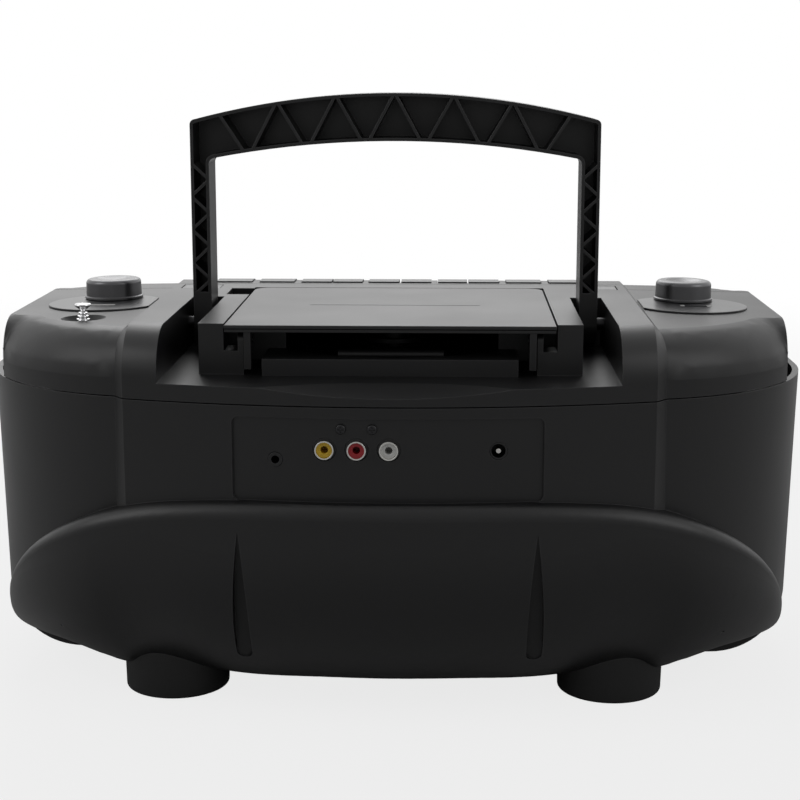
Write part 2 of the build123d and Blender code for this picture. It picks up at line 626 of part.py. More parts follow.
with BuildPart() as control:
    block((-8, 8), (-8, 8), (-14, -3.1))
    rod((0, 0, -3.2), (0, 0, 1), 4.5, 3.8)
    rod((0, 0, -15), (0, 0, 1), 3.06, 20, mode=Mode.SUBTRACT)

for side, name in ((-1, "tuning"), (1, "volume")):
    with BuildPart() as placed_knob:
        with Locations(knob_plane(side)):
            add(knob.part)
    keep(placed_knob, f"{name}_knob")
    with BuildPart() as placed_shaft:
        with Locations(knob_plane(side)):
            add(shaft.part)
    keep(placed_shaft, f"{name}_shaft")

with BuildPart() as knob_controls:
    for side in (-1, 1):
        with Locations(knob_plane(side)):
            add(control.part)
keep(knob_controls, "knob_controls")

with BuildPart() as knob_plates:
    for side in (-1, 1):
        with BuildPart(mode=Mode.PRIVATE) as disc:
            rod((side * (PLATE_X - KNOB_X), PLATE_Y - KNOB_Y, 0.02), (0, 0, 1), PLATE_RADIUS, 0.9)
            # The disc stops short of the raised centre section's bevel
            block(sorted((side * (PLATE_INNER - KNOB_X), side * 60)), (-60, 60), (-6, 6), mode=Mode.INTERSECT)
            fillet(disc.edges().group_by(Axis.Z)[-1], 0.3)
            rod((0, 0, -5), (0, 0, 1), 4.7, 10, mode=Mode.SUBTRACT)
        with Locations(knob_plane(side)):
            add(disc.part)
keep(knob_plates, "knob_plates")

# Antenna: three stages that slide out of a fixed tube, the last with a turned tip
ANTENNA_LOW = 50.0
with BuildPart() as antenna_tube:
    rod((ANTENNA_X, ANTENNA_Y, ANTENNA_LOW), (0, 0, 1), 3.8, 119.5)
    rod((ANTENNA_X, ANTENNA_Y, ANTENNA_LOW + 2), (0, 0, 1), 3.3, 120, mode=Mode.SUBTRACT)
keep(antenna_tube, "antenna_tube")

with BuildPart() as antenna_stage_1:
    rod((ANTENNA_X, ANTENNA_Y, ANTENNA_LOW + 4), (0, 0, 1), 3.24, 116.5)
    rod((ANTENNA_X, ANTENNA_Y, ANTENNA_LOW + 6), (0, 0, 1), 2.75, 116, mode=Mode.SUBTRACT)
keep(antenna_stage_1, "antenna_stage_1")

with BuildPart() as antenna_stage_2:
    rod((ANTENNA_X, ANTENNA_Y, ANTENNA_LOW + 8), (0, 0, 1), 2.69, 113.5)
    rod((ANTENNA_X, ANTENNA_Y, ANTENNA_LOW + 10), (0, 0, 1), 2.2, 113, mode=Mode.SUBTRACT)
keep(antenna_stage_2, "antenna_stage_2")

TIP_Z = 172.8
with BuildPart() as antenna_tip:
    rod((ANTENNA_X, ANTENNA_Y, ANTENNA_LOW + 12), (0, 0, 1), 2.14, TIP_Z - ANTENNA_LOW - 11)
    with BuildPart(mode=Mode.PRIVATE) as pawn:
        with BuildSketch(Plane.XZ) as pawn_profile:
            with BuildLine():
                Polyline((0, 0), (4.2, 0), (4.2, 1.0))
                for ring in range(5):
                    radius, height = 4.2 - ring * 0.5, 1.0 + ring * 1.5
                    Polyline((radius, height), (radius - 0.9, height + 0.3), (radius - 0.9, height + 0.9),
                             (radius - 0.5, height + 1.5))
                Line((1.7, 8.5), (3.6, 9.9))
                ThreePointArc((3.6, 9.9), (3.9, 10.6), (3.4, 11.2))
                Polyline((3.4, 11.2), (0, 11.5), (0, 0))
            make_face()
        revolve(pawn_profile.sketch, axis=Axis.Z, revolution_arc=360)
    with Locations((ANTENNA_X, ANTENNA_Y, TIP_Z)):
        add(pawn.part)
keep(antenna_tip, "antenna_tip")

# Lid: a thin top plate on a frame that carries the hinge arms and the clamp's seat
with BuildPart() as lid_cover:
    block((-LID_HALF, LID_HALF), (LID_FRONT, LID_BACK), (PLATEAU_Z - LID_TOP_THICK, PLATEAU_Z))
    fillet(lid_cover.edges().filter_by(Axis.Z).group_by(Axis.Y)[0], 8)
    fillet(lid_cover.faces().sort_by(Axis.Z)[-1].edges(), 0.4)
keep(lid_cover, "lid_cover")

LID_LIP = 178.2
with BuildPart() as lid_frame:
    block((-LID_HALF + 0.3, LID_HALF - 0.3), (LID_FRONT + 0.3, LID_BACK - 0.3), (LID_UNDER, LID_LIP))
    fillet(lid_frame.edges().filter_by(Axis.Z).group_by(Axis.Y)[0], 7.7)
    with BuildPart(mode=Mode.PRIVATE) as rebate:
        block((-LID_HALF + 1.6, LID_HALF - 1.6), (LID_FRONT + 1.6, LID_BACK - 1.6),
              (LID_LIP - 0.1, PLATEAU_Z - LID_TOP_THICK))
        fillet(rebate.edges().filter_by(Axis.Z).group_by(Axis.Y)[0], 6.4)
    add(rebate.part)
    rod((0, DISC_Y, 170.5), (0, 0, 1), 19, 6.5)
    rod((0, DISC_Y, 172), (0, 0, 1), 16.3, LID_UNDER - 172, mode=Mode.SUBTRACT)
    rod((0, DISC_Y, 170), (0, 0, 1), 13.5, 3, mode=Mode.SUBTRACT)
    for side in (-1, 1):
        arm = sorted((side * 62.3, side * 65.4))
        block(arm, (74.5, 79.5), (160, LID_UNDER + 0.1))
        block(arm, (67, 79.5), (168.4, LID_UNDER + 0.1))
        rod((side * 62, LID_AXIS_Y, LID_AXIS_Z), (side, 0, 0), 1.56, 4, mode=Mode.SUBTRACT)
keep(lid_frame, "lid_frame")

with BuildPart() as disc_clamp:
    with BuildSketch(Plane.XZ) as clamp_profile:
        with BuildLine():
            Polyline((0, 169), (0, 174.6), (15.8, 174.6), (15.8, 172.4), (13, 172.4), (13, 168.4), (9, 168.4),
                     (8.2, 169), (0, 169))
        make_face()
    revolve(clamp_profile.sketch, axis=Axis.Z, revolution_arc=360)
    disc_clamp.part = disc_clamp.part.moved(Location((0, DISC_Y, 0)))
keep(disc_clamp, "disc_clamp")

# Disc deck: the well under the lid, with a window for the pickup
with BuildPart() as disc_deck:
    block((-76.4, 76.4), (-54, 50), (WELL_FLOOR - 2.5, 174))
    block((-57.4, 57.4), (49, 79.8), (RECESS_Z, 164.8))
    block((-40, 40), (-60, -52.3), (171.5, PLATEAU_Z - WALL))
    for side in (-1, 1):
        block(sorted((side * 75.4, side * 82)), (0, 45), (171.5, PLATEAU_Z - WALL))
    with BuildPart(mode=Mode.PRIVATE) as deck_under:
        block((-74, 74), (-51.5, 47.5), (150, 171.5))
        block((-55, 55), (47, 77.5), (150, 159.5))
        rod((0, DISC_Y, 140), (0, 0, 1), WELL_RADIUS + 2.5, 60, mode=Mode.SUBTRACT)
    add(deck_under.part, mode=Mode.SUBTRACT)
    rod((0, DISC_Y, WELL_FLOOR), (0, 0, 1), WELL_RADIUS, 30, mode=Mode.SUBTRACT)
    rod((0, DISC_Y, 150), (0, 0, 1), 17, 30, mode=Mode.SUBTRACT)
    block((-12, 12), (-50, DISC_Y), (150, 180), mode=Mode.SUBTRACT)
    rod((-24, 65.5, 164.8), (1, 0, 0), 2.2, 48)
    for x in (-44, 44):
        for y in (-38, 38):
            rod((x, y, 154.5), (0, 0, 1), 3.5, 5.5)
keep(disc_deck, "disc_deck")

# Drive under the deck: plate on rubber dampers, spindle motor and hub, pickup on two rods
ROD_X, ROD_Z = 20.0, 154.0
LENS_Y = -9.0
PLATE_Z = 149.5
with BuildPart() as mech_plate:
    block((-50, 50), (-70, 46), (PLATE_Z - 1.5, PLATE_Z))
    fillet(mech_plate.edges().filter_by(Axis.Z), 5)
    for side in (-1, 1):
        for y in (-68, 36):
            block((side * ROD_X - 3, side * ROD_X + 3), (y - 2, y + 2), (PLATE_Z - 1, ROD_Z + 2.5))
        rod((side * ROD_X, -75, ROD_Z), (0, 1, 0), 1.5, 120, mode=Mode.SUBTRACT)
    rod((-36, -20, 140), (0, 0, 1), 2, 20, mode=Mode.SUBTRACT)
    block((-15, 15), (-60, -5), (140, PLATE_Z + 0.5), mode=Mode.SUBTRACT)
keep(mech_plate, "mech_plate")

with BuildPart() as dampers:
    for x in (-44, 44):
        for y in (-38, 38):
            rod((x, y, PLATE_Z), (0, 0, 1), 4.5, 5)
            rod((x, y, PLATE_Z), (0, 0, 1), 1.7, 5, mode=Mode.SUBTRACT)
keep(dampers, "dampers")

with BuildPart() as spindle_motor:
    rod((0, DISC_Y, PLATE_Z), (0, 0, 1), 12.5, 10.5)
    fillet(spindle_motor.edges().group_by(Axis.Z)[-1], 1)
    rod((0, DISC_Y, PLATE_Z - 1), (0, 0, 1), 1.05, 20, mode=Mode.SUBTRACT)
keep(spindle_motor, "spindle_motor")

with BuildPart() as disc_hub:
    rod((0, DISC_Y, 151), (0, 0, 1), 1, 10)
    rod((0, DISC_Y, 160.4), (0, 0, 1), 4, 3.5)
    rod((0, DISC_Y, 163.5), (0, 0, 1), 14, DISC_Z - 163.5)
    with Locations((0, DISC_Y, DISC_Z - 0.01)):
        Cone(7.4, 6.6, 2.6, align=(Align.CENTER, Align.CENTER, Align.MIN))
keep(disc_hub, "disc_hub")

with BuildPart() as guide_rods:
    for side in (-1, 1):
        rod((side * ROD_X, -70, ROD_Z), (0, 1, 0), 1.5, 108)
keep(guide_rods, "guide_rods")

# Rack and pinion that move the pickup
PITCH_RADIUS = 6.0
TEETH = 16
TOOTH_PITCH = 2 * pi * PITCH_RADIUS / TEETH
GEAR_X, GEAR_Y = -36.0, -20.0
with BuildPart() as pickup_sled:
    block((-25, 25), (-21, -1.5), (151, 158))
    block((-29.2, -24), (-23, 19), (152.4, 155.6))
    with BuildSketch(Plane.XY.offset(152.4)) as rack_teeth:
        for index in range(-1, 17):
            y = GEAR_Y + (index + 0.5) * TOOTH_PITCH
            with BuildLine():
                Polyline((-29.1, y - 0.72), (-30.6, y - 0.28), (-30.6, y + 0.28), (-29.1, y + 0.72), (-29.1, y - 0.72))
            make_face()
    extrude(rack_teeth.sketch, amount=3.2)
    for side in (-1, 1):
        rod((side * ROD_X, -30, ROD_Z), (0, 1, 0), 1.56, 50, mode=Mode.SUBTRACT)
keep(pickup_sled, "pickup_sled")

with BuildPart() as pickup_lens:
    rod((0, LENS_Y, 158), (0, 0, 1), 4.5, 1.6)
    with Locations((0, LENS_Y, 157.6)):
        Sphere(3.2, arc_size1=0)
    block((-5, 5), (LENS_Y - 5, LENS_Y + 5), (150, 158), mode=Mode.SUBTRACT)
keep(pickup_lens, "pickup_lens")

with BuildPart() as sled_gear:
    with BuildSketch(Plane.XY.offset(152.7)) as gear_outline:
        with Locations((GEAR_X, GEAR_Y)):
            Circle(5.25)
        for index in range(TEETH):
            with Locations((GEAR_X, GEAR_Y)):
                with Locations(Rotation(0, 0, index * 360 / TEETH)):
                    Polygon((5.1, -0.68), (6.6, -0.27), (6.6, 0.27), (5.1, 0.68), align=None)
    extrude(gear_outline.sketch, amount=2.6)
    rod((GEAR_X, GEAR_Y, 141), (0, 0, 1), 1, 13)
keep(sled_gear, "sled_gear")

with BuildPart() as sled_motor:
    rod((GEAR_X, GEAR_Y, 138), (0, 0, 1), 9, PLATE_Z - 1.5 - 138)
    fillet(sled_motor.edges().group_by(Axis.Z)[0], 1)
    rod((GEAR_X, GEAR_Y, 139.5), (0, 0, 1), 1.05, 20, mode=Mode.SUBTRACT)
keep(sled_motor, "sled_motor")

# Circuit boards and what is soldered to them
with BuildPart() as circuit_boards:
    block((-85, 85), (-50, 70), (58, 59.6))
    block((-66, 66), (91.5, 93.1), (110, 146))
keep(circuit_boards, "circuit_boards")

with BuildPart() as board_components:
    for x, y in ((-60, -20), (-44, -20), (-60, 0), (62, 50)):
        rod((x, y, 59.6), (0, 0, 1), 6.3, 22)
    block((-20, 5), (-30, -5), (59.6, 61.8))
    block((20, 42), (0, 22), (59.6, 61.6))
    block((-10, 6), (20, 30), (59.6, 61.4))
    block((30, 72), (-42, -30), (59.6, 84))
    for x in (-70, -50, -30):
        block((x, x + 12), (50, 60), (59.6, 67))
keep(board_components, "board_components")

# Sockets on the back panel
with BuildPart() as rca_block:
    block((-8, 35), (93.1, 106), (122, 143))
    for x in (VIDEO_X, RIGHT_X, LEFT_X):
        rod((x, 100, SOCKET_Z), (0, 1, 0), 5.1, back_wall(x, PANEL_RADIUS) - 100.4)
        rod((x, 98, SOCKET_Z), (0, 1, 0), 4.15, 20, mode=Mode.SUBTRACT)
    for x in (RIGHT_X + 6.8, RIGHT_X - 6.8):
        rod((x, 98, 139.4), (0, 1, 0), 1.2, 20, mode=Mode.SUBTRACT)
keep(rca_block, "rca_block")

with BuildPart() as jack_contacts:
    for x in (VIDEO_X, RIGHT_X, LEFT_X):
        front = back_wall(x, PANEL_RADIUS) + 2.5
        rod((x, 98, SOCKET_Z), (0, 1, 0), 4.15, front - 98)
        rod((x, 97, SOCKET_Z), (0, 1, 0), 3.55, 30, mode=Mode.SUBTRACT)
    rod((POWER_X, 96, POWER_Z), (0, 1, 0), 1.05, 11)
keep(jack_contacts, "jack_contacts")

for x, name in ((VIDEO_X, "video_insert"), (RIGHT_X, "audio_right_insert"), (LEFT_X, "audio_left_insert")):
    with BuildPart() as insert:
        face = back_wall(x, PANEL_RADIUS) + 0.9
        rod((x, 98, SOCKET_Z), (0, 1, 0), 3.55, face - 98)
        rod((x, face - 8, SOCKET_Z), (0, 1, 0), 1.65, 20, mode=Mode.SUBTRACT)
    keep(insert, name)

with BuildPart() as aux_jack:
    block((AUX_X - 5, AUX_X + 5), (93.1, 103), (AUX_Z - 6, AUX_Z + 6))
    rod((AUX_X, 100, AUX_Z), (0, 1, 0), 3.2, back_wall(AUX_X, PANEL_RADIUS) + 0.6 - 100)
    rod((AUX_X, back_wall(AUX_X, PANEL_RADIUS) - 12, AUX_Z), (0, 1, 0), 1.8, 20, mode=Mode.SUBTRACT)
keep(aux_jack, "aux_jack")

with BuildPart() as power_jack:
    block((POWER_X - 6, POWER_X + 6), (93.1, 103), (POWER_Z - 6.5, POWER_Z + 6.5))
    rod((POWER_X, 100, POWER_Z), (0, 1, 0), 3.9, back_wall(POWER_X, PANEL_RADIUS) - 100.3)
    rod((POWER_X, 96, POWER_Z), (0, 1, 0), 3.1, 20, mode=Mode.SUBTRACT)
keep(power_jack, "power_jack")

# Screws: two in the socket panel, four long ones in the posts
with BuildPart() as screws:
    for x in (RIGHT_X + 6.8, RIGHT_X - 6.8):
        face = back_wall(x, PANEL_RADIUS)
        with BuildPart(mode=Mode.PRIVATE) as panel_screw:
            rod((x, face + 0.15, 139.4), (0, 1, 0), 2.25, 1.2)
            fillet(panel_screw.edges().group_by(Axis.Y)[-1], 0.8)
            rod((x, 99, 139.4), (0, 1, 0), 1.2, face - 98.5)
            block((x - 1.3, x + 1.3), (face + 0.65, face + 2), (139.1, 139.7), mode=Mode.SUBTRACT)
            block((x - 0.3, x + 0.3), (face + 0.65, face + 2), (138.1, 140.7), mode=Mode.SUBTRACT)
        add(panel_screw.part)
    for post_x, post_y in POSTS:
        rod((post_x, post_y, 128.2), (0, 0, 1), 3.5, 2.8)
        rod((post_x, post_y, 130), (0, 0, 1), 1.6, 30)
keep(screws, "screws")

# Carrying handle: a channel section, open at the back, stiffened by zigzag ribs
HANDLE_SKIN = 1.5
RIB = 1.4
RIB_STEP = 14.0
ARM_RIB_STEP = 8.0


def handle_face(inset):
    """Face-on outline of the handle, an arch with two arms, drawn in by an inset."""
    outer, inner = HANDLE_HALF - inset, HANDLE_INNER + inset
    shoulder, corner = HANDLE_SHOULDER - inset, HANDLE_UNDER - 8.6 + inset
    foot = 156 + inset * 20
    with BuildSketch(Plane.XZ) as outline:
        with BuildLine():
            ThreePointArc((-outer, shoulder), (0, HANDLE_TOP - inset), (outer, shoulder))
            Polyline((outer, shoulder), (outer, foot), (inner, foot), (inner, corner))
            ThreePointArc((inner, corner), (0, HANDLE_UNDER + inset), (-inner, corner))
            Polyline((-inner, corner), (-inner, foot), (-outer, foot), (-outer, shoulder))
        make_face()
        fillet(outline.vertices().filter_by(lambda point: abs(point.Y - shoulder) < 0.1), 2.5 - inset)
        fillet(outline.vertices().filter_by(lambda point: abs(point.Y - corner) < 0.1), 3 + inset)
    return outline.sketch


with BuildSketch(Plane.XY) as ribs:
    arch = []
    for index in range(-6, 7):
        x = index * RIB_STEP
        arch.append((x, 255.5 - x ** 2 / 930) if index % 2 else (x, 281 - x ** 2 / 750))
    pairs = list(zip(arch[:-1], arch[1:]))
    for side in (-1, 1):
        rungs = [(side * (HANDLE_INNER if index % 2 else HANDLE_HALF), 184 + index * ARM_RIB_STEP)
                 for index in range(9)]
        pairs += list(zip(rungs[:-1], rungs[1:]))
    for start, end in pairs:
        run = Vector(*end) - Vector(*start)
        turn = Vector(1, 0).get_signed_angle(run, Vector(0, 0, 1))
        with Locations((Vector(*start) + Vector(*end)) * 0.5):
            Rectangle(run.length + 1, RIB, rotation=turn)

with BuildSketch(Plane.XZ) as channel:
    add(handle_face(HANDLE_SKIN))
    add(ribs.sketch, mode=Mode.SUBTRACT)

with BuildPart() as handle:
    extrude(handle_face(0), amount=HANDLE_BACK, both=True)
    with BuildSketch(Plane.YZ) as arm_side:
        with Locations(((HANDLE_BACK + HANDLE_FRONT) / 2, (HANDLE_AXIS_Z + 290) / 2)):
            Rectangle(HANDLE_BACK - HANDLE_FRONT, 290 - HANDLE_AXIS_Z)
        with Locations((HANDLE_AXIS_Y, HANDLE_AXIS_Z)):
            Circle((HANDLE_BACK - HANDLE_FRONT) / 2)
    extrude(arm_side.sketch, amount=120, both=True, mode=Mode.INTERSECT)
    extrude(channel.sketch.moved(Location((0, HANDLE_BACK + 1, 0))), amount=HANDLE_BACK + 1 - HANDLE_FRONT - 2.5,
            mode=Mode.SUBTRACT)
    rod((-120, HANDLE_AXIS_Y, HANDLE_AXIS_Z), (1, 0, 0), HANDLE_PIN + 0.06, 240, mode=Mode.SUBTRACT)
keep(handle, "handle")

with BuildPart() as pivot_pins:
    for side in (-1, 1):
        rod((side * 82, HANDLE_AXIS_Y, HANDLE_AXIS_Z), (side, 0, 0), HANDLE_PIN, 22)
        rod((side * 61.8, LID_AXIS_Y, LID_AXIS_Z), (side, 0, 0), 1.5, 6.8)
keep(pivot_pins, "pivot_pins")

# Feet: drums whose tops follow the curve of the case above them
with BuildPart() as feet:
    for x in (-FOOT_X, FOOT_X):
        for y in FOOT_YS:
            with BuildPart(mode=Mode.PRIVATE) as drum:
                with Locations((x, y, 0)):
                    Cone(FOOT_RADIUS, FOOT_RADIUS + 0.8, 32, align=(Align.CENTER, Align.CENTER, Align.MIN))
                fillet(drum.edges().group_by(Axis.Z)[0], 1.5)
                add(case_outer.part, mode=Mode.SUBTRACT)
                foot_solid = drum.solids().sort_by(Axis.Z)[0]
            add(foot_solid)
keep(feet, "feet")

# Battery door and spring-leaf contacts
with BuildPart() as battery_door:
    block((-BAY_HALF + 0.4, BAY_HALF - 0.4), (BAY_FRONT + 0.4, BAY_BACK - 0.4), (BOTTOM_Z, BOTTOM_Z + 2.5))
    fillet(battery_door.edges().filter_by(Axis.Z), 2)
    for index in range(5):
        block((-12, 12), (-52 + index * 3, -50.8 + index * 3), (BOTTOM_Z - 1, BOTTOM_Z + 0.7), mode=Mode.SUBTRACT)
keep(battery_door, "battery_door")

with BuildPart() as battery_contacts:
    for side in (-1, 1):
        for y in (-43.5, -16.5):
            block(sorted((side * (BAY_HALF - 0.5), side * BAY_HALF)), (y - 9, y + 9), (14, 34))
            block(sorted((side * (BAY_HALF - 2.5), side * (BAY_HALF - 0.5))), (y - 4, y + 4), (20, 28))
keep(battery_contacts, "battery_contacts")
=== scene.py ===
import bpy
import json
from math import cos, radians, sin, tan
from mathutils import Matrix, Vector


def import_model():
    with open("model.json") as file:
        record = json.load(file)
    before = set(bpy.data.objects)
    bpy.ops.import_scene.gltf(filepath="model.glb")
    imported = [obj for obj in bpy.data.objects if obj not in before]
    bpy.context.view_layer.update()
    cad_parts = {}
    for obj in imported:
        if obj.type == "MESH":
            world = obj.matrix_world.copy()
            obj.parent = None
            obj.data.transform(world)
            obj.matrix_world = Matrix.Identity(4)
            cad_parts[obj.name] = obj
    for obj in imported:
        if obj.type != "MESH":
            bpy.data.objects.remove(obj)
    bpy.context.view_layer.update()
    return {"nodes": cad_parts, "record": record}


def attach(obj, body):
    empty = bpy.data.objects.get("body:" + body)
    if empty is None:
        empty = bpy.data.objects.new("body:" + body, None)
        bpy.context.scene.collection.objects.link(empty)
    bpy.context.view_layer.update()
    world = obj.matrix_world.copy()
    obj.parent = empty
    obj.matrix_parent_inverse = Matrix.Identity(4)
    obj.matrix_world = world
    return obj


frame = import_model()

# Where the photograph was taken from, in metres, and the lens that goes with it
CAMERA_AT = Vector((-0.0271, 0.8261, 0.2936))
CAMERA_PITCH = 0.1945
CAMERA_YAW = 0.0302
LENS_MM = 76.4

# Strength of the light all round, and of the white that surfaces mirror on the camera's side
AMBIENT = 0.2
CAMERA_SIDE_GLOSS = 0.3

# The floor is nearly white to the camera round the object, and quite white further off
FLOOR_NEAR, FLOOR_FAR = 0.5, 1.4
FLOOR_WHITE_NEAR = 0.8

# Lamps: place, the spot they point at, side length and power
LEFT_LAMP = ((1.3, 0.6, 1.1), (0, 0, 0.12), 0.9, 4)
RIGHT_LAMP = ((-1.3, 0.7, 1.0), (0, 0, 0.12), 0.9, 3.5)
BACK_LAMP = ((0.2, -1.4, 1.2), (0, 0, 0.15), 1.2, 8)

# Sizes repeated from the CAD, in metres
SIDE_TOP = 0.1779
TOP_SLOPE = radians(1.0)
TOP_FLAT_HALF = 0.1
TOP_BEND_RADIUS = 0.24
PLATE_THICK = 0.00092
LID_TOP = 0.1801

# Marks on the knob plates, coloured with painted highlights and painted shade: where each lies along
# X, its length, and their shared line along Y
VOLUME_MARK_X, VOLUME_MARK_Y, VOLUME_MARK_LONG = 0.144, 0.003, 0.012
TUNING_MARK_X, TUNING_MARK_Y, TUNING_MARK_LONG = -0.1468, -0.0023, 0.0108
# Painted glints: short white bars at both ends of the dark tuning slot, where they lie along X and
# how long they are
TUNING_GLINT_XS, TUNING_GLINT_LONG = (-0.1404, -0.1532), 0.002
MARK_WIDE = 0.003
LID_LINE_Y, LID_LINE_LONG, LID_LINE_WIDE = 0.013, 0.082, 0.001
BAR_THICK = 0.0003


def camera():
    """The photograph's view."""
    data = bpy.data.cameras.new("camera")
    data.lens = LENS_MM
    data.sensor_width = 36
    data.clip_start = 0.01
    data.clip_end = 50
    obj = bpy.data.objects.new("camera", data)
    bpy.context.scene.collection.objects.link(obj)
    level = cos(CAMERA_PITCH)
    forward = Vector((sin(CAMERA_YAW) * level, -cos(CAMERA_YAW) * level, -sin(CAMERA_PITCH)))
    right = forward.cross(Vector((0, 0, 1))).normalized()
    up = right.cross(forward)
    turn = Matrix((right, up, -forward)).transposed().to_4x4()
    obj.matrix_world = Matrix.Translation(CAMERA_AT) @ turn
    bpy.context.scene.camera = obj


def set_range(node, low_in, high_in, low_out, high_out):
    """Set what a Map Range node takes in and gives out."""
    names = ("From Min", "From Max", "To Min", "To Max")
    for socket, value in zip(names, (low_in, high_in, low_out, high_out)):
        node.inputs[socket].default_value = value


class Finish:
    """A procedural material: fine grain, uneven gloss and edges painted lighter as a painted
    highlight over one colour.
    """

    def __init__(self, name, colour, roughness, metallic=0.0):
        self.material = bpy.data.materials.new(name)
        self.material.use_nodes = True
        self.tree = self.material.node_tree
        self.shader = self.tree.nodes["Principled BSDF"]
        self.shader.inputs["Metallic"].default_value = metallic
        self.colour = colour
        self.roughness = roughness
        self.place = self.tree.nodes.new("ShaderNodeTexCoord").outputs["Object"]

    def noise(self, scale, detail=2.0):
        """A noise field in the object's own metres."""
        node = self.tree.nodes.new("ShaderNodeTexNoise")
        node.inputs["Scale"].default_value = scale
        node.inputs["Detail"].default_value = detail
        self.tree.links.new(self.place, node.inputs["Vector"])
        return node.outputs["Fac"]

    def span(self, source, low, high, start=0.3, end=0.7):
        """A value between low and high that follows a source."""
        node = self.tree.nodes.new("ShaderNodeMapRange")
        set_range(node, start, end, low, high)
        self.tree.links.new(source, node.inputs["Value"])
        return node.outputs["Result"]

    def uneven_gloss(self, scale, amount):
        """Roughness that varies slowly over the surface."""
        value = self.span(self.noise(scale), self.roughness - amount, self.roughness + amount)
        self.tree.links.new(value, self.shader.inputs["Roughness"])
        return self

    def grain(self, scale, depth, edge=0.0004):
        """Fine moulded grain, with the sharp edges rounded in the shading."""
        rounded = self.tree.nodes.new("ShaderNodeBevel")
        rounded.samples = 4
        rounded.inputs["Radius"].default_value = edge
        bump = self.tree.nodes.new("ShaderNodeBump")
        bump.inputs["Strength"].default_value = 1.0
        bump.inputs["Distance"].default_value = depth
        self.tree.links.new(self.noise(scale, 3.0), bump.inputs["Height"])
        self.tree.links.new(rounded.outputs["Normal"], bump.inputs["Normal"])
        self.tree.links.new(bump.outputs["Normal"], self.shader.inputs["Normal"])
        return self

    def painted_highlight_edges(self, edge_highlight_colour, amount, width=0.0012):
        """Edges painted lighter as a painted highlight, found where a wide bevel bends the normal."""
        wide = self.tree.nodes.new("ShaderNodeBevel")
        wide.samples = 4
        wide.inputs["Radius"].default_value = width
        geometry = self.tree.nodes.new("ShaderNodeNewGeometry")
        dot = self.tree.nodes.new("ShaderNodeVectorMath")
        dot.operation = "DOT_PRODUCT"
        self.tree.links.new(wide.outputs["Normal"], dot.inputs[0])
        self.tree.links.new(geometry.outputs["Normal"], dot.inputs[1])
        bent = self.span(dot.outputs["Value"], amount, 0.0, 0.75, 0.98)
        patchy_highlight = self.tree.nodes.new("ShaderNodeMath")
        patchy_highlight.operation = "MULTIPLY"
        self.tree.links.new(bent, patchy_highlight.inputs[0])
        self.tree.links.new(self.span(self.noise(60.0), 0.3, 1.0), patchy_highlight.inputs[1])
        # Painted highlight: the lighter edge colour is mixed into the base colour where the bevel
        # mask is high
        mix = self.tree.nodes.new("ShaderNodeMix")
        mix.data_type = "RGBA"
        tint = self.tree.nodes.new("ShaderNodeMix")
        tint.data_type = "RGBA"
        darker = [channel * 0.85 for channel in self.colour]
        tint.inputs["A"].default_value = (*darker, 1)
        tint.inputs["B"].default_value = (*self.colour, 1)
        self.tree.links.new(self.noise(25.0), tint.inputs["Factor"])
        self.tree.links.new(tint.outputs["Result"], mix.inputs["A"])
        mix.inputs["B"].default_value = (*edge_highlight_colour, 1)
        self.tree.links.new(patchy_highlight.outputs["Value"], mix.inputs["Factor"])
        self.tree.links.new(mix.outputs["Result"], self.shader.inputs["Base Color"])
        return self


def plastic(name, colour, roughness, grain_depth=0.00002, edge_highlight=0.25, edge_highlight_colour=(0.09, 0.09, 0.095)):
    """Moulded plastic."""
    finish = Finish(name, colour, roughness).uneven_gloss(14.0, 0.03).grain(1800.0, grain_depth)
    # The lighter edges are a painted highlight
    return finish.painted_highlight_edges(edge_highlight_colour, edge_highlight).material


def metal(name, colour, roughness, edge_highlight=0.2):
    """Bare or plated metal."""
    finish = Finish(name, colour, roughness, metallic=1.0)
    finish.uneven_gloss(40.0, 0.05).grain(900.0, 0.000005, 0.0002)
    # The lighter edges are a painted highlight
    return finish.painted_highlight_edges([min(1, channel * 1.15) for channel in colour], edge_highlight).material


